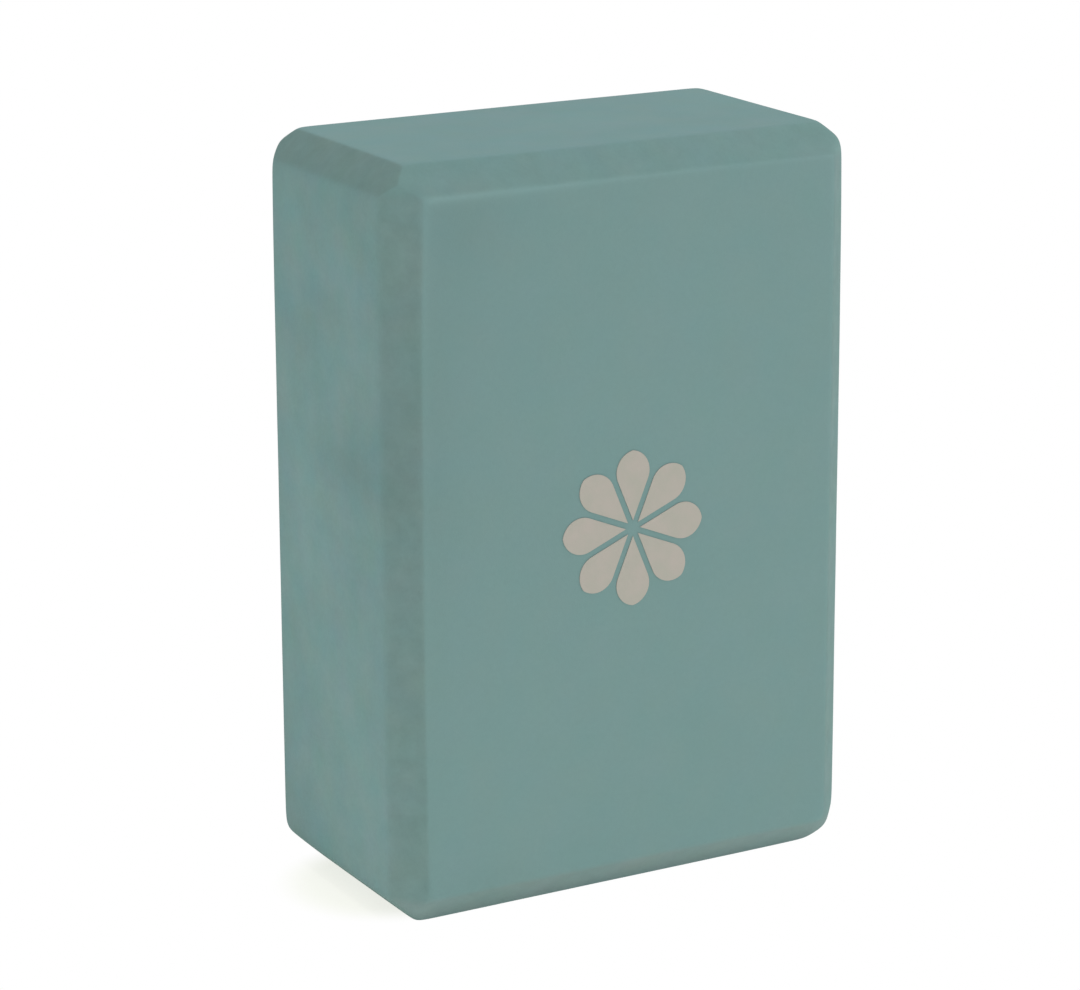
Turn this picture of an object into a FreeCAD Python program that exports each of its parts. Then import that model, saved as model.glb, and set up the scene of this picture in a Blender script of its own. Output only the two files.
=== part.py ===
import FreeCAD, Part
import math
import os

# A foam yoga block: one brick of closed-cell foam that stands on its end, with every edge cut
# to a flat bevel, the creases eased, and a petal rosette printed on the middle of its front face.
# Lengths are in millimetres. +Z is up and the printed front faces -Y. The origin is the middle
# of the end that the block stands on.

Vector = FreeCAD.Vector

# Foam block
block_width = 151.0
block_depth = 84.5
block_height = 220.0
bevel_leg = 8.3  # how far a bevel reaches from the sharp edge along each of its two faces
crease_radius = 3.5  # easing of every crease, where a bevel meets a face or another bevel

# Printed rosette
rosette_radius = 23.0
petal_gap = 1.8  # bare foam between neighbouring petals
ink_thickness = 0.2
petal_count = 8
shoulder_share = 0.62  # where a petal starts to close to its tip, as a share of the radius


def bevelled_along(axis):
    """The plain brick with bevels on the four edges that run along the axis."""
    lowest_corner = Vector(-block_width / 2, -block_depth / 2, 0)
    brick = Part.makeBox(block_width, block_depth, block_height, lowest_corner)
    edges = [edge for edge in brick.Edges if edge.Curve.Direction.cross(axis).Length == 0]
    return brick.makeChamfer(bevel_leg, edges)


def make_foam_block():
    """What the three bevelled bricks share, so that the bevels meet in mitres at each corner."""
    mitred = bevelled_along(Vector(1, 0, 0))
    for axis in (Vector(0, 1, 0), Vector(0, 0, 1)):
        mitred = mitred.common(bevelled_along(axis))
    return mitred.makeFillet(crease_radius, mitred.Edges).Solids[0]


def mirrored(point):
    """The same point on the other side of a petal's middle line."""
    return Vector(-point.x, point.y, point.z)


def make_petal():
    """One upright petal, about the rosette's middle at the origin, its back on the XZ plane.

    Its straight sides run parallel to the lines midway to the next petals, half a gap away,
    and an arc carries each side on from its shoulder to the tip.
    """
    half_pitch = math.pi / petal_count
    foot = Vector(0, 0, petal_gap / 2 / math.sin(half_pitch))
    tip = Vector(0, 0, rosette_radius)
    shoulder_rise = rosette_radius * shoulder_share
    shoulder = Vector((shoulder_rise - foot.z) * math.tan(half_pitch), 0, shoulder_rise)

    chord = tip - shoulder
    chord_lean = math.atan2(-chord.x, chord.z)
    bulge = chord.Length / 2 * math.tan((half_pitch + chord_lean) / 2)
    outward = Vector(math.cos(chord_lean), 0, math.sin(chord_lean))
    arc_middle = (shoulder + tip) / 2 + outward * bulge

    outline = [
        Part.LineSegment(foot, shoulder),
        Part.Arc(shoulder, arc_middle, tip),
        Part.Arc(tip, mirrored(arc_middle), mirrored(shoulder)),
        Part.LineSegment(mirrored(shoulder), foot),
    ]
    face = Part.Face(Part.Wire([curve.toShape() for curve in outline]))
    return face.extrude(Vector(0, -ink_thickness, 0))


def make_front_print():
    """The petals, turned about the middle of the rosette and laid on the front face."""
    face_middle = Vector(0, -block_depth / 2, block_height / 2)
    petals = []
    for index in range(petal_count):
        petal = make_petal()
        petal.rotate(Vector(0, 0, 0), Vector(0, 1, 0), math.degrees(2 * math.pi * index / petal_count))
        petal.translate(face_middle)
        petals.append(petal)
    return Part.makeCompound(petals)


os.makedirs("parts", exist_ok=True)
make_foam_block().exportStep("parts/foam_block.step")
make_front_print().exportStep("parts/front_print.step")
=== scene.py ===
import math

import bpy
import numpy as np
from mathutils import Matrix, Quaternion, Vector, noise


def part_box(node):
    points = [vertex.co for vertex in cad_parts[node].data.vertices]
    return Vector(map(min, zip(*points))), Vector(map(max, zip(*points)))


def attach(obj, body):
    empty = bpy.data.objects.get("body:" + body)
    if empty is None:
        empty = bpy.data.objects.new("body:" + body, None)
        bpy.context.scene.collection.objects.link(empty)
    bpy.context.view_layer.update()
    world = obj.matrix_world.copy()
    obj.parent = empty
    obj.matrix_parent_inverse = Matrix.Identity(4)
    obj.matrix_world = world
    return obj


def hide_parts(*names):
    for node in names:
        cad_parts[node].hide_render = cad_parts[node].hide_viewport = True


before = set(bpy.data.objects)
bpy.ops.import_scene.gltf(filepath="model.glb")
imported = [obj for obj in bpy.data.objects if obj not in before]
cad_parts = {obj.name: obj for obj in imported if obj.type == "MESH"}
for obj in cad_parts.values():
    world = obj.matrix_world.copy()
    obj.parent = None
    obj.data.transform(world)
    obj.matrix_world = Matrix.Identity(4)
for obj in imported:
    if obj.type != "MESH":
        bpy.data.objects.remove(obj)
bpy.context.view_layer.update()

# Foam skin, in metres
BEVEL_LEG = 0.0083  # reach of a bevel along each face, as in the solid
FRONT_EXTRAS = (0.0006, -0.00045)  # how much further the ends' bevels reach onto the front, foot and top
TOP_EXTRA = 0.0007  # onto the top from the front
LEFT_EXTRA = -0.0007  # onto the left side at its top
LEFT_END_EXTRA = 0.0005  # onto the ends from the left side
RIGHT_EXTRAS = (-0.0012, -0.00045)  # onto both faces at the right, at foot and top
BACK_EXTRAS = (-0.0008, 0.0009)  # and at the top of the back, at left and right
FRONT_FLARE = (0.0015, 0.034)  # widening of the left bevel on the front, and its reach down from the top
FOOT_FLARE = (0.0005, 0.040)  # the same up from the foot
LEFT_FLARE = (0.0012, 0.090)  # and on the left side, down from the top
TOP_FLARE = (0.0024, 0.028)  # widening of the front bevel on the top, and its reach from the left
FRONT_CREASES = (0.0042, 0.0024)  # radius where front and back meet their bevels, at left and right
NEAR_CREASES = (0.0025, 0.0060)  # radius at the front edge of the left side, at the foot and at the top
SIDE_CREASES = (0.0006, 0.0050)  # the same at the other edges of the sides
END_CREASES = (0.0010, 0.0030)  # radius where the ends meet their bevels, at the foot and at the top
CORNER_CREASE = 0.0063  # what the radius grows by at the top, on the outer sides and the front's left
FOOT_CREASE = 0.004  # and at the right and back feet, on the sides and the end
FOOT_MITRES = (0.0040, 0.0070)  # radius where two bevels meet at the foot, at the near left and elsewhere
TOP_MITRES = (0.0048, 0.0043)  # and at the top, at left and right
FACE_TURN = math.radians(45)  # how far the skin turns from a face to a bevel
MITRE_TURN = math.radians(60)  # and from one bevel to the next at a corner
BEVEL_WANDERS = ((0.070, 0.00016), (0.018, 0.00005))  # wavelength and depth of the uneven cut
CORNER_LEGS = 1.5  # bevel legs from a sharp corner to where three bevels meet, along all axes together

# Powers of shares from 0 to 1: a high one keeps a change close to the edge where the share is 1
EXTRA_POWER = 6  # of the share across, with which the extra reach on front and top ends at the right
TOP_POWER = 12  # of the share up, with which the radius grows at the top
OUTER_POWER = 4  # of the share across or back, with which it grows there on the sides
LEFT_POWER = 12  # of the share to the left, with which it grows there on the front
FOOT_POWERS = (6, 24)  # of the shares across or back, and down, with which it grows at the foot
GRADE_POWER = 2  # of the share across, with which the front's painted light and shade change
RIM_POWER = 2  # of the share to the left, with which the painted highlights on the front's creases stand out

# Mesh of the foam skin: rays from a core inside the block meet the skin
CORE_INSET = 0.014  # depth of the core below the faces
FLAT_STEP = 0.004  # between rays on the flat faces
CREASE_SPREAD = math.radians(9)  # to each side of a crease, where the rays are dense
FAN_STEPS = (4, 12, 7)  # rays from the flat to the crease, round it, and on to the bevel's middle
HALVINGS = 34  # each one halves what is left to find of a ray's length

# Foam material
FACE_COLOUR = np.array((0.1865, 0.3040, 0.3020))
SIDE_FRONT_COLOUR = np.array((0.1752, 0.2750, 0.2687))  # of bevels between the sides and front or back
END_SIDE_COLOUR = np.array((0.1570, 0.2478, 0.2359))  # between the ends and the sides
FRONT_TOP_COLOUR = np.array((0.1770, 0.2940, 0.2850))  # between front or back and the top
FRONT_FOOT_COLOUR = np.array((0.1988, 0.2817, 0.2777))  # and the foot
CUT_BLURS = (0.0004, 0.00012)  # of the colours where a bevel begins, at the foot and above it
FOOT_REACH = 0.020  # height above the foot over which the one turns into the other
SIDE_BLURS = (0.0002, 0.0006)  # where it begins at a side, at the top and away from it
TOP_REACH = 0.020  # depth below the top over which they do
CORNER_CAP_SPAN = (0.0022, 0.0012)  # start and length of the way from a corner that evens out the bevels
FRONT_PAINTED_SHADES = (0.006, 0.072)  # painted shade: how much darker the front gets towards its left, at foot and top
FRONT_SHADE_REACH = 0.028
FRONT_FOOT_PAINTED_LIGHT = 0.055  # painted light from below: how much lighter the front gets towards its foot
FRONT_FOOT_REACH = 0.015
FRONT_PAINTED_GRADE = 0.022  # painted light and shade: how much lighter its right side gets from the middle to the top, and darker to the foot
FRONT_TOP_PAINTED_SHADING = (-0.03, 0.01)  # painted shading: how much lighter the bevel at its top is, at left and right, darker at the left
END_PAINTED_SHADES = (-0.003, -0.013)  # painted shade: how much lighter the ends are, at the front and at the back, both below 0 so darker
SIDE_PAINTED_GRADE = 0.025  # painted light and shade: how much lighter the sides get from their middles to their feet, and darker to their tops
SIDE_SHADE = 0.035  # painted shade: how much darker they get at their tops
SIDE_SHADE_REACH = 0.014
MARKS_AND_PAINTED_SHADING = (  # place, reach along each axis, and depth of soft dark patches, less than 0 for a light one: some are dark marks on the foam, the rest painted shade and painted light
    # a dark mark on the left side
    ((-0.0755, -0.018, 0.131), (0.006, 0.028, 0.009), 0.080),
    # a dark mark on the left side, near its front
    ((-0.0755, -0.029, 0.118), (0.006, 0.008, 0.014), 0.045),
    # painted light on the left side, below its top
    ((-0.0755, -0.014, 0.190), (0.006, 0.020, 0.010), -0.035),
    # painted shade at the back of the left side, low down
    ((-0.0755, 0.042, 0.025), (0.006, 0.017, 0.060), 0.130),
    # painted shade at the foot of the left side
    ((-0.0755, 0.013, 0.000), (0.006, 0.024, 0.026), 0.100),
    # a darker patch at the front's foot, towards its left
    ((-0.0500, -0.042, 0.010), (0.014, 0.006, 0.008), 0.030),
    # painted shade on the front just below its top, towards its left
    ((-0.0520, -0.042, 0.203), (0.014, 0.005, 0.013), 0.036),
    # painted shade round the edge between the front and the left side
    ((-0.0755, -0.042, 0.137), (0.016, 0.016, 0.046), 0.055),
    # painted light at the foot, where the front meets the left side
    ((-0.0755, -0.038, 0.006), (0.010, 0.012, 0.016), -0.035),
    # painted light at the top, where the front meets the left side
    ((-0.0755, -0.042, 0.206), (0.012, 0.012, 0.022), -0.035),
)
SIDE_RIM_HIGHLIGHTS = (0.02, 0.09)  # painted highlights: how much lighter the front's creases are at its right and left
TOP_RIM_HIGHLIGHTS = (0.055, 0.21)  # and at its top, at right and left
RIM_BLURS = (0.0003, 0.00065)  # at right and left
RIM_PEAK = 27 / 4  # makes the largest product of a squared share and the share left of it 1
CLOUD_SIZE = 0.026
CLOUD_DETAIL = 3
CLOUD_SWING = 0.12  # how much lighter or darker the clouds make the foam
FRONT_CLOUDS = 0.15  # share of it on the front and back
END_CLOUDS = 0.35  # on the ends
BEVEL_CLOUDS = 0.40  # and on the bevels
HUE_PATCH_SIZE = 0.012
HUE_PATCH_DETAIL = 4
HUE_SWING = Vector((0.34, 0.05, 0.16))  # how far the patches shift red, green and blue
HUE_POWER = 0.6  # of the clouds' share, by which the patches fade
MOTTLE_SIZE = 0.0045
MOTTLE_DETAIL = 3
MOTTLE_SWING = 0.10  # how much lighter or darker the mottles make the side bevels
SIDE_MOTTLES = 0.35  # share of it on the sides
FRONT_END_MOTTLES = 0.65  # and on the bevels between the ends and front or back
GRAIN_SIZE = 0.0011
GRAIN_DETAIL = 2
GRAIN_SWING = 0.06  # how much lighter or darker the grain makes the foam
GRAIN_SHARES = (0.35, 1)  # share of it where there are no clouds, and where they are full
GRAIN_HEIGHTS = (0.4, 1.3)  # height of the grain's bumps without mottles, and with
CELL_SIZE = 0.00048
CELL_HEIGHT = 0.35  # of the cells' bumps, beside the grain's
FOAM_BUMP = (0.5, 0.00012)  # strength, and depth in metres
FOAM_ROUGHNESS = (0.70, 0.86)  # over the grain's range
FOAM_SHINE = 0.05
NOISE_MIDDLE = (0.5, 0.5, 0.5)  # of a noise in colour
NO_TINT = (1, 1, 1)

# Print material
INK_COLOUR = (0.436, 0.398, 0.360)
THIN_INK_COLOUR = (0.395, 0.387, 0.338)
INK_PATCH_SIZE = 0.006
INK_PATCH_DETAIL = 4
INK_PATCH_RANGE = (-0.75, 1.75)  # spreads the patches' noise so that it reaches both colours
INK_BUMP = (0.3, 0.00008)  # strength, and depth in metres
INK_ROUGHNESS = (0.48, 0.62)
INK_SHINE = 0.4

# Numbers of the sockets that hold colours on a Mix node, where numbers share their names
FIRST_COLOUR = 6
SECOND_COLOUR = 7
MIXED_COLOUR = 2

# Camera, as the photograph was taken
CAMERA_PLACE = Vector((-0.53224, -0.93910, 0.41503))
CAMERA_TURN = math.radians(29.2365)  # of the line of sight, from +Y towards +X
CAMERA_DIP = math.radians(15.8061)  # of the line of sight, below level
CAMERA_ROLL = math.radians(0.2317)
CAMERA_LENS = 126.925  # millimetres on a sensor 36 mm wide

# Studio: a white table that glows a little, even light all round, and five soft lights
FLOOR_WIDTH = 1.4
FLOOR_COLOUR = (0.95, 0.955, 0.87)
FLOOR_GLOW = 0.35
SHADE_WHITES = (0.65, 1.0)  # share of plain white that the camera sees, in the shade and away from it
PAINTED_SHADOW_COLOUR = (0.96, 0.965, 0.90)  # of that white in the shade: a painted shadow, darker and warmer than plain white
SHADE_PLACE = (-0.060, -0.001, 0)
SHADE_EDGE = (0.020, 0.034)  # range of the distance from there in which the shade ends
AMBIENT = 0.655
AIM = Vector((0, 0, 0.11))
LIGHT_WIDTH = 0.7
LIGHTS = {  # place and power of each light
    "overhead": (Vector((0, 0, 1.91)), 7.32),
    "key": (Vector((0.73, -0.73, 1.58)), 2.5),
    "low_right": (Vector((1.27, -1.27, 0.14)), 3.2),
    "low_left": (Vector((-1.80, 0, 0.14)), 1.6),
    "right": (Vector((1.80, 0, 0.14)), 5.0),
}


def eased(first, second, softness):
    """The larger of two distances, with the corner where they are equal eased away."""
    return softness * np.logaddexp(first / softness, second / softness)


def blend(ends, share):
    """The first of two values where the share is 0, the second where it is 1."""
    return ends[0] + (ends[1] - ends[0]) * share


def softness_of(radius, turn):
    """The softness that cuts a corner of this turn as deep as an arc of this radius does."""
    return radius * (1 - math.cos(turn / 2)) / math.log(2)


def wander(points, wavelength, seed):
    """Smooth noise between -1 and 1 at each point."""
    shift = Vector((seed, 2 * seed, 3 * seed))
    return np.array([noise.noise(Vector(point) / wavelength + shift) for point in points])


def fan_leans():
    """Leans of the rays from square to a face, 0, to the middle of a bevel, 1."""
    crease = math.atan((CORE_INSET - BEVEL_LEG) / CORE_INSET)
    stops = (0, crease - CREASE_SPREAD, crease + CREASE_SPREAD, FACE_TURN)
    angles = [0]
    for start, stop, count in zip(stops, stops[1:], FAN_STEPS):
        angles.extend(np.linspace(start, stop, count + 1)[1:])
    return np.tan(angles)


def lattice_axis(half):
    """Place on the core, and lean, of each line of the lattice along one axis."""
    reach = half - CORE_INSET
    flat = np.linspace(-reach, reach, round(2 * reach / FLAT_STEP) + 1)
    fan = fan_leans()[1:]
    places = np.concatenate([np.full(len(fan), -reach), flat, np.full(len(fan), reach)])
    leans = np.concatenate([-fan[::-1], np.zeros(len(flat)), fan])
    return places, leans


def box_skin(shape):
    """The lattice points on the outside of a box lattice of this shape, and the quads on them."""
    outside = np.zeros(shape, bool)
    for axis in range(3):
        for end in (0, -1):
            outside.swapaxes(0, axis)[end] = True
    number = np.zeros(shape, int)
    number[outside] = np.arange(outside.sum())
    quads = []
    for axis in range(3):
        for end in (0, -1):
            sheet = np.take(number, end, axis)
            ring = np.stack([sheet[:-1, :-1], sheet[1:, :-1], sheet[1:, 1:], sheet[:-1, 1:]], -1)
            faces_out = (end == -1) != (axis == 1)
            quads.append((ring if faces_out else ring[..., ::-1]).reshape(-1, 4))
    return np.argwhere(outside), np.concatenate(quads)


def bevel_between(first, second, on_first, on_second):
    """How far points lie outside a bevel that reaches this far onto each of its two faces."""
    return (first * on_first + second * on_second + on_first * on_second) / np.hypot(on_first, on_second)


def flare(size_and_reach, away):
    """A widening that is full at the corner and fades away from it."""
    size, reach = size_and_reach
    return size * np.exp(-((away / reach) ** 2))


def shares_along(points, half):
    """How far across, back and up points lie in the block, from 0 to 1."""
    return ((points + half) / (2 * half)).T


def lengths_from(points, half):
    """How far points lie from the left side, from the foot and from the top."""
    from_left, _, from_foot = (points + half).T
    return from_left, from_foot, 2 * half[2] - from_foot


def distances(points, half, bevel_leg):
    """How far points lie outside the sides, fronts and ends, and outside the bevels between them."""
    sides, fronts, ends = (np.abs(points) - half).T
    across, back, up = shares_along(points, half)
    from_left, from_foot, from_top = lengths_from(points, half)
    left = 1 - across
    near = 1 - back
    inner = near * (1 - across**EXTRA_POWER)
    back_leg = bevel_leg + blend(BACK_EXTRAS, across) * back * up
    front_leg = back_leg + blend(FRONT_EXTRAS, up) * inner
    top_leg = back_leg + (TOP_EXTRA + flare(TOP_FLARE, from_left)) * inner * up
    right_leg = bevel_leg + blend(RIGHT_EXTRAS, up) * across
    side_leg = right_leg + LEFT_EXTRA * left * near * up
    end_leg = right_leg + LEFT_END_EXTRA * left * blend((1, near), up)
    on_left = bevel_leg + flare(LEFT_FLARE, from_top) * left * near
    on_front = bevel_leg + (flare(FRONT_FLARE, from_top) + flare(FOOT_FLARE, from_foot)) * left * near
    side_front = bevel_between(sides, fronts, on_left, on_front)
    front_end = bevel_between(fronts, ends, front_leg, top_leg)
    end_side = bevel_between(ends, sides, end_leg, side_leg)
    return sides, fronts, ends, side_front, front_end, end_side


def outside_skin(points, half, bevel_leg):
    """How far points lie outside the foam's skin, with its creases eased."""
    sides, fronts, ends, *bevels = distances(points, half, bevel_leg)
    across, back, up = shares_along(points, half)
    outer = np.maximum(across, back)
    mitres = (blend(FOOT_MITRES, outer), blend(TOP_MITRES, across))
    mitre = softness_of(blend(mitres, up), MITRE_TURN)
    skin = eased(eased(bevels[0], bevels[1], mitre), bevels[2], mitre)
    side_creases = (blend(SIDE_CREASES, up), blend(NEAR_CREASES, up))
    growth = CORNER_CREASE * up**TOP_POWER
    foot_share = outer ** FOOT_POWERS[0] * (1 - up) ** FOOT_POWERS[1]
    foot_growth = FOOT_CREASE * foot_share
    side_crease = blend(side_creases, (1 - across) * (1 - back))
    side_crease += growth * outer**OUTER_POWER + foot_growth
    front_crease = blend(FRONT_CREASES, across) + growth * (1 - across) ** LEFT_POWER
    end_crease = blend(END_CREASES, up) + foot_growth
    skin = eased(skin, sides, softness_of(side_crease, FACE_TURN))
    skin = eased(skin, fronts, softness_of(front_crease, FACE_TURN))
    return eased(skin, ends, softness_of(end_crease, FACE_TURN))


def shares_of(values, blur):
    """How far each of several values is the largest, from 0 to 1, blurred where they are close."""
    weights = np.exp((np.array(values) - np.max(values, 0)) / blur)
    return weights / weights.sum(0)


def paint(points, half, bevel_leg):
    """The foam's colour at each point, with painted light and shade in it, and how mottled and how cloudy
    it is there.
    """
    sides, *others = distances(points, half, bevel_leg)
    across, back, up = shares_along(points, half)
    from_left, from_foot, from_top = lengths_from(points, half)
    side_blur = blend(SIDE_BLURS, np.clip(from_top / TOP_REACH, 0, 1))
    off_sides, on_sides = shares_of((np.max(others, 0), sides), side_blur)
    cut_blur = blend(CUT_BLURS, np.clip(from_foot / FOOT_REACH, 0, 1))
    front, end, side_front, front_end, end_side = shares_of(others, cut_blur) * off_sides

    from_corner = -((np.abs(points) - half).sum(1) + CORNER_LEGS * bevel_leg) / math.sqrt(3)
    # near each corner the bevel between side and front takes the colour of the front's bevel at top or
    # foot
    past_cap = np.clip((from_corner - CORNER_CAP_SPAN[0]) / CORNER_CAP_SPAN[1], 0, 1)
    front_end = front_end + side_front * (1 - past_cap)
    side_front = side_front * past_cap
    cuts = (
        (SIDE_FRONT_COLOUR, side_front),
        (END_SIDE_COLOUR, end_side),
        (FRONT_TOP_COLOUR, front_end * up),
        (FRONT_FOOT_COLOUR, front_end * (1 - up)),
    )
    colour = np.tile(FACE_COLOUR, (len(points), 1))
    for cut_colour, share in cuts:
        colour += (cut_colour - FACE_COLOUR) * share[:, None]

    leftmost = np.exp(-from_left / FRONT_SHADE_REACH)
    # painted shade on the front, deepest at its upper left
    front_painted_shade = blend(FRONT_PAINTED_SHADES, up) * leftmost
    # painted light from below on the front, towards its foot, fading to its left
    front_painted_light = FRONT_FOOT_PAINTED_LIGHT * np.exp(-from_foot / FRONT_FOOT_REACH) * (1 - leftmost)
    # painted light on the front's upper right and painted shade on its lower right
    front_painted_grade = FRONT_PAINTED_GRADE * (2 * up - 1) * across**GRADE_POWER
    tone = 1 + (front_painted_light + front_painted_grade - front_painted_shade) * front
    # painted shade on the ends, deeper towards the back
    tone += blend(END_PAINTED_SHADES, back) * end
    # painted shade on the bevel at the front's top towards its left, painted light at its right
    tone += blend(FRONT_TOP_PAINTED_SHADING, across) * front_end * up
    # painted light on the sides towards their feet, painted shade towards their tops
    tone += (SIDE_PAINTED_GRADE * (1 - 2 * up) - SIDE_SHADE * np.exp(-from_top / SIDE_SHADE_REACH)) * on_sides
    # dark marks on the foam, and patches of painted shade and painted light
    for place, reach, depth in MARKS_AND_PAINTED_SHADING:
        away = (points + (0, 0, half[2]) - place) / reach
        tone -= depth * np.exp(-(away**2).sum(1))

    # painted highlights along the creases round the front and back, strongest to the left
    leftness = (1 - across) ** RIM_POWER
    _, rim_front, _, rim_side, rim_end, _ = shares_of((sides, *others), blend(RIM_BLURS, leftness))
    rim_highlights = blend(SIDE_RIM_HIGHLIGHTS, leftness) * rim_side + blend(TOP_RIM_HIGHLIGHTS, leftness) * rim_end
    tone += RIM_PEAK * rim_front**2 * rim_highlights * up
    side_cut = side_front + end_side
    mottled = side_cut + SIDE_MOTTLES * on_sides + FRONT_END_MOTTLES * front_end
    cloudy = on_sides + FRONT_CLOUDS * front + END_CLOUDS * end + BEVEL_CLOUDS * (side_cut + front_end)
    return colour * tone[:, None], mottled, cloudy


def store(mesh, name, values):
    """Keeps a number or a colour for each vertex for the material to read."""
    if values.ndim == 1:
        mesh.attributes.new(name, "FLOAT", "POINT").data.foreach_set("value", values)
    else:
        mesh.attributes.new(name, "FLOAT_VECTOR", "POINT").data.foreach_set("vector", values.ravel())


def make_foam():
    """The foam's skin: flat faces, bevels of a slightly uneven cut, and eased creases."""
    low, high = (np.array(corner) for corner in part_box("foam_block"))
    centre = (low + high) / 2
    half = (high - low) / 2
    axes = [lattice_axis(length) for length in half]
    spots, quads = box_skin([len(places) for places, leans in axes])
    core = np.stack([axes[axis][0][spots[:, axis]] for axis in range(3)], 1)
    rays = np.stack([axes[axis][1][spots[:, axis]] for axis in range(3)], 1)
    rays /= np.linalg.norm(rays, axis=1, keepdims=True)

    bevel_leg = BEVEL_LEG
    for seed, (wavelength, depth) in enumerate(BEVEL_WANDERS):
        bevel_leg = bevel_leg + depth * wander(core + rays * CORE_INSET, wavelength, seed)
    inside = np.zeros(len(core))
    outside = np.full(len(core), 2 * CORE_INSET)
    for _ in range(HALVINGS):
        middle = (inside + outside) / 2
        points = core + rays * middle[:, None]
        is_inside = outside_skin(points, half, bevel_leg) < 0
        inside = np.where(is_inside, middle, inside)
        outside = np.where(is_inside, outside, middle)

    mesh = bpy.data.meshes.new("foam")
    mesh.from_pydata(points + centre, [], quads.tolist())
    mesh.shade_smooth()
    for name, values in zip(("paint", "mottled", "cloudy"), paint(points, half, bevel_leg)):
        store(mesh, name, values)
    mesh.materials.append(foam_material())
    foam = bpy.data.objects.new("foam", mesh)
    bpy.context.scene.collection.objects.link(foam)
    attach(foam, "root")
    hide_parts("foam_block")


def add_node(tree, kind, inputs=None, **settings):
    """A new node with these settings, and its inputs, by name or number, set or linked to sockets."""
    made = tree.nodes.new("ShaderNode" + kind)
    for name, value in settings.items():
        setattr(made, name, value)
    for name, value in (inputs or {}).items():
        if isinstance(value, bpy.types.NodeSocket):
            tree.links.new(value, made.inputs[name])
        else:
            made.inputs[name].default_value = value
    return made


def new_tree(name):
    """A new material with an empty node tree, and its output node."""
    material = bpy.data.materials.new(name)
    material.use_nodes = True
    material.node_tree.nodes.clear()
    return material, material.node_tree, add_node(material.node_tree, "OutputMaterial")


def noise_at(tree, place, size, detail, output="Fac"):
    """Noise, from about 0 to 1, whose lumps are of this size, as a number or as a colour."""
    made = add_node(tree, "TexNoise", {"Vector": place, "Scale": 1 / size, "Detail": detail})
    return made.outputs[output]


def ranged(tree, value, low, high):
    """The value, from 0 to 1, spread from low to high."""
    made = add_node(tree, "MapRange", {"Value": value, "To Min": low, "To Max": high}, clamp=False)
    return made.outputs["Result"]


def combined(tree, operation, first, second):
    """Two numbers put together by a math operation."""
    made = add_node(tree, "Math", {0: first, 1: second}, operation=operation)
    return made.outputs["Value"]


def vector_math(tree, operation, first, second):
    """Two vectors put together by a vector math operation."""
    made = add_node(tree, "VectorMath", {0: first, 1: second}, operation=operation)
    return made.outputs["Vector"]


def scaled(tree, vector, scale):
    """The vector, made longer or shorter by the scale."""
    inputs = {"Vector": vector, "Scale": scale}
    return add_node(tree, "VectorMath", inputs, operation="SCALE").outputs["Vector"]


def swing_about_zero(tree, value, size, share):
    """The value, from 0 to 1, spread this far to both sides of 0, and scaled by the share."""
    return combined(tree, "MULTIPLY", ranged(tree, value, -size, size), share)


def mixed_colour(tree, share, first, second):
    """A colour that goes from first to second with the share."""
    inputs = {"Factor": share, FIRST_COLOUR: (*first, 1), SECOND_COLOUR: (*second, 1)}
    return add_node(tree, "Mix", inputs, data_type="RGBA").outputs[MIXED_COLOUR]


def matte_surface(tree, output, look, bump, roughness, shine):
    """Ends a material in a matte shader with this look: its colour, its bumps' height and its grain."""
    colour, height, grain = look
    strength, depth = bump
    bumps = add_node(tree, "Bump", {"Height": height, "Strength": strength, "Distance": depth})
    inputs = {
        "Base Color": colour,
        "Roughness": ranged(tree, grain, *roughness),
        "Specular IOR Level": shine,
        "Normal": bumps.outputs["Normal"],
    }
    shader = add_node(tree, "BsdfPrincipled", inputs)
    tree.links.new(shader.outputs["BSDF"], output.inputs["Surface"])


def foam_material():
    """Matte closed-cell foam on a colour with painted light and shade in it: fine cells, faint clouds,
    patches and mottles, quieter on the front.
    """
    material, tree, output = new_tree("foam_cells")
    place = add_node(tree, "TexCoord").outputs["Object"]
    own_colour = add_node(tree, "Attribute", attribute_name="paint").outputs["Color"]
    mottled = add_node(tree, "Attribute", attribute_name="mottled").outputs["Fac"]
    cloudy = add_node(tree, "Attribute", attribute_name="cloudy").outputs["Fac"]
    clouds = noise_at(tree, place, CLOUD_SIZE, CLOUD_DETAIL)
    mottles = noise_at(tree, place, MOTTLE_SIZE, MOTTLE_DETAIL)
    grain = noise_at(tree, place, GRAIN_SIZE, GRAIN_DETAIL)
    patches = noise_at(tree, place, HUE_PATCH_SIZE, HUE_PATCH_DETAIL, "Color")
    cells = add_node(tree, "TexVoronoi", {"Vector": place, "Scale": 1 / CELL_SIZE}).outputs["Distance"]

    shift = vector_math(tree, "SUBTRACT", patches, NOISE_MIDDLE)
    shift = vector_math(tree, "MULTIPLY", shift, HUE_SWING)
    shift = scaled(tree, shift, combined(tree, "POWER", cloudy, HUE_POWER))
    tint = vector_math(tree, "ADD", shift, NO_TINT)
    cloud_swing = swing_about_zero(tree, clouds, CLOUD_SWING, cloudy)
    mottle_swing = swing_about_zero(tree, mottles, MOTTLE_SWING, mottled)
    grain_swing = swing_about_zero(tree, grain, GRAIN_SWING, ranged(tree, cloudy, *GRAIN_SHARES))
    swing = combined(tree, "ADD", combined(tree, "ADD", cloud_swing, mottle_swing), grain_swing)
    tinted = vector_math(tree, "MULTIPLY", own_colour, tint)
    toned = scaled(tree, tinted, combined(tree, "ADD", swing, 1))

    cell_height = combined(tree, "MULTIPLY", cells, CELL_HEIGHT)
    grain_height = combined(tree, "MULTIPLY", grain, ranged(tree, mottled, *GRAIN_HEIGHTS))
    height = combined(tree, "ADD", cell_height, grain_height)
    matte_surface(tree, output, (toned, height, grain), FOAM_BUMP, FOAM_ROUGHNESS, FOAM_SHINE)
    return material


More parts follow.
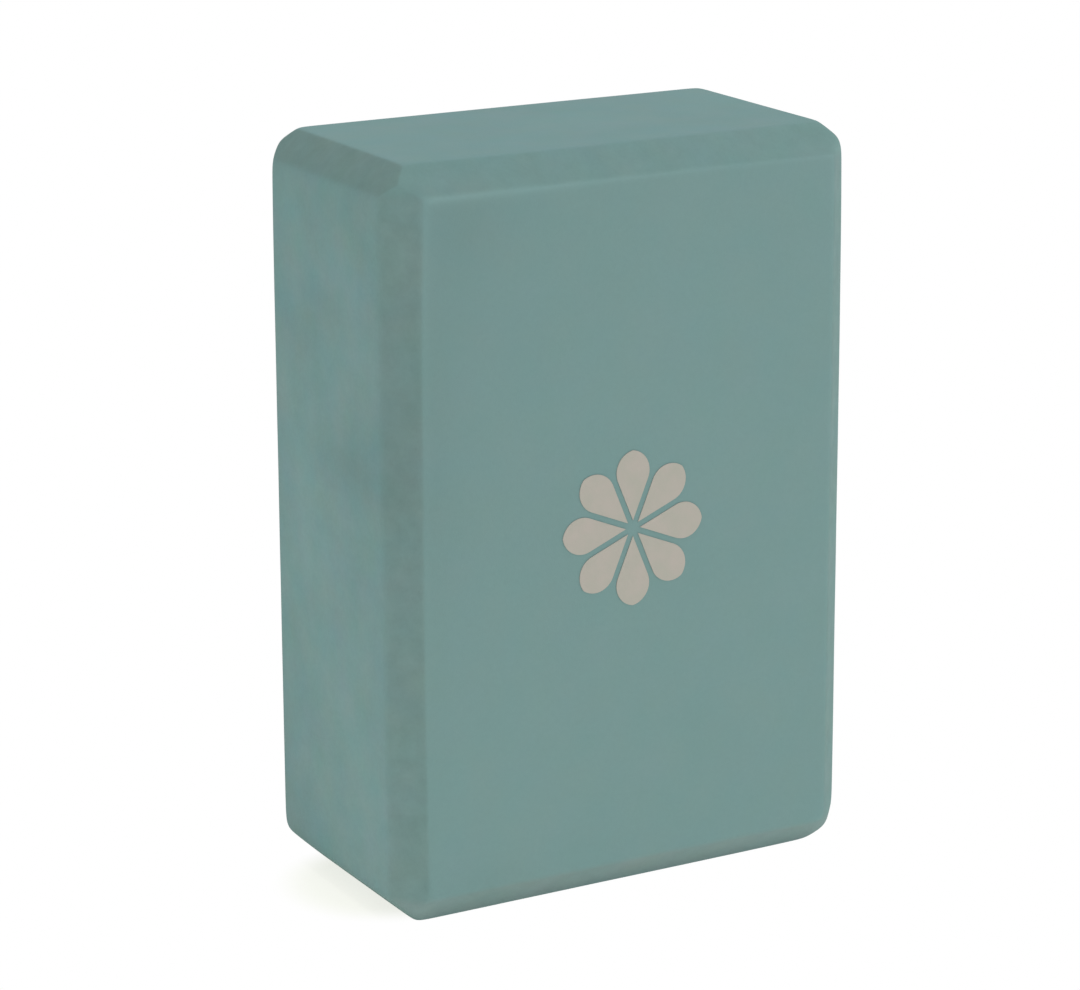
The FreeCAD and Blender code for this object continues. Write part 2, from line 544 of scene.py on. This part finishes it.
def ink_material():
    """Matte ink, laid a little unevenly so that it thins towards the foam's grain."""
    material, tree, output = new_tree("ink_film")
    place = add_node(tree, "TexCoord").outputs["Object"]
    patches = ranged(tree, noise_at(tree, place, INK_PATCH_SIZE, INK_PATCH_DETAIL), *INK_PATCH_RANGE)
    grain = noise_at(tree, place, GRAIN_SIZE, GRAIN_DETAIL)
    colour = mixed_colour(tree, patches, INK_COLOUR, THIN_INK_COLOUR)
    matte_surface(tree, output, (colour, grain, grain), INK_BUMP, INK_ROUGHNESS, INK_SHINE)
    return material


def dress_print():
    """The solid of the print keeps its shape and gets the ink's look."""
    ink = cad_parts["front_print"]
    ink.data.materials.clear()
    ink.data.materials.append(ink_material())


def seen_directly(tree):
    """1 for what the camera sees straight, in a reflection or through glass, and 0 for light."""
    path = add_node(tree, "LightPath").outputs
    shiny = combined(tree, "MAXIMUM", path["Is Glossy Ray"], path["Is Transmission Ray"])
    return combined(tree, "MAXIMUM", path["Is Camera Ray"], shiny)


def eased_step(tree, value, span):
    """0 where the value is at the start of the span, 1 at its end, and an eased step between."""
    inputs = {"Value": value, "From Min": span[0], "From Max": span[1]}
    return add_node(tree, "MapRange", inputs, interpolation_type="SMOOTHSTEP").outputs["Result"]


def out_of_shade(tree):
    """0 in the round patch of floor at the block's left where its shade falls and a painted shadow lies,
    and 1 outside it.
    """
    place = add_node(tree, "TexCoord").outputs["Object"]
    away = add_node(tree, "VectorMath", {0: place, 1: SHADE_PLACE}, operation="DISTANCE")
    return eased_step(tree, away.outputs["Value"], SHADE_EDGE)


def make_floor():
    """The table, plain white to the camera but for a round patch at the block's left, where its shadow
    shows with a painted shadow on it.
    """
    reach = FLOOR_WIDTH / 2
    corners = [(-reach, -reach, 0), (reach, -reach, 0), (reach, reach, 0), (-reach, reach, 0)]
    mesh = bpy.data.meshes.new("floor")
    mesh.from_pydata(corners, [], [(0, 1, 2, 3)])
    floor = bpy.data.objects.new("floor", mesh)
    bpy.context.scene.collection.objects.link(floor)
    material, tree, output = new_tree("studio_floor")
    matte = add_node(tree, "BsdfDiffuse", {"Color": (*FLOOR_COLOUR, 1)})
    glow = add_node(tree, "Emission", {"Color": (1, 1, 1, 1), "Strength": FLOOR_GLOW})
    both = add_node(tree, "AddShader", {0: matte.outputs["BSDF"], 1: glow.outputs["Emission"]})
    bright = out_of_shade(tree)
    # a painted shadow: the white is darker and warmer in the patch at the block's left
    white_colour = mixed_colour(tree, bright, PAINTED_SHADOW_COLOUR, (1, 1, 1))
    white = add_node(tree, "Emission", {"Color": white_colour, "Strength": 1})
    white_share = combined(tree, "MULTIPLY", seen_directly(tree), ranged(tree, bright, *SHADE_WHITES))
    inputs = {0: white_share, 1: both.outputs["Shader"], 2: white.outputs["Emission"]}
    mix = add_node(tree, "MixShader", inputs)
    tree.links.new(mix.outputs["Shader"], output.inputs["Surface"])
    mesh.materials.append(material)


def make_world():
    """Even light from all round, behind a background that the camera sees as plain white."""
    world = bpy.data.worlds.new("studio")
    bpy.context.scene.world = world
    world.use_nodes = True
    tree = world.node_tree
    tree.nodes.clear()
    strength = ranged(tree, seen_directly(tree), AMBIENT, 1)
    background = add_node(tree, "Background", {"Color": (1, 1, 1, 1), "Strength": strength})
    output = add_node(tree, "OutputWorld")
    tree.links.new(background.outputs["Background"], output.inputs["Surface"])


def make_lights():
    """Soft square lights, all turned to the middle of the block."""
    for name, (place, power) in LIGHTS.items():
        data = bpy.data.lights.new(name, "AREA")
        data.size = LIGHT_WIDTH
        data.energy = power
        light = bpy.data.objects.new(name, data)
        light.location = place
        light.rotation_mode = "QUATERNION"
        light.rotation_quaternion = (AIM - place).to_track_quat("-Z", "Y")
        bpy.context.scene.collection.objects.link(light)


def make_camera():
    """The camera of the photograph."""
    data = bpy.data.cameras.new("camera")
    data.lens = CAMERA_LENS
    camera = bpy.data.objects.new("camera", data)
    level = math.cos(CAMERA_DIP)
    sight = Vector((math.sin(CAMERA_TURN) * level, math.cos(CAMERA_TURN) * level, -math.sin(CAMERA_DIP)))
    camera.location = CAMERA_PLACE
    camera.rotation_mode = "QUATERNION"
    camera.rotation_quaternion = sight.to_track_quat("-Z", "Y") @ Quaternion((0, 0, 1), -CAMERA_ROLL)
    bpy.context.scene.collection.objects.link(camera)
    bpy.context.scene.camera = camera


make_foam()
dress_print()
make_floor()
make_world()
make_lights()
make_camera()
bpy.context.scene.view_settings.view_transform = "Standard"
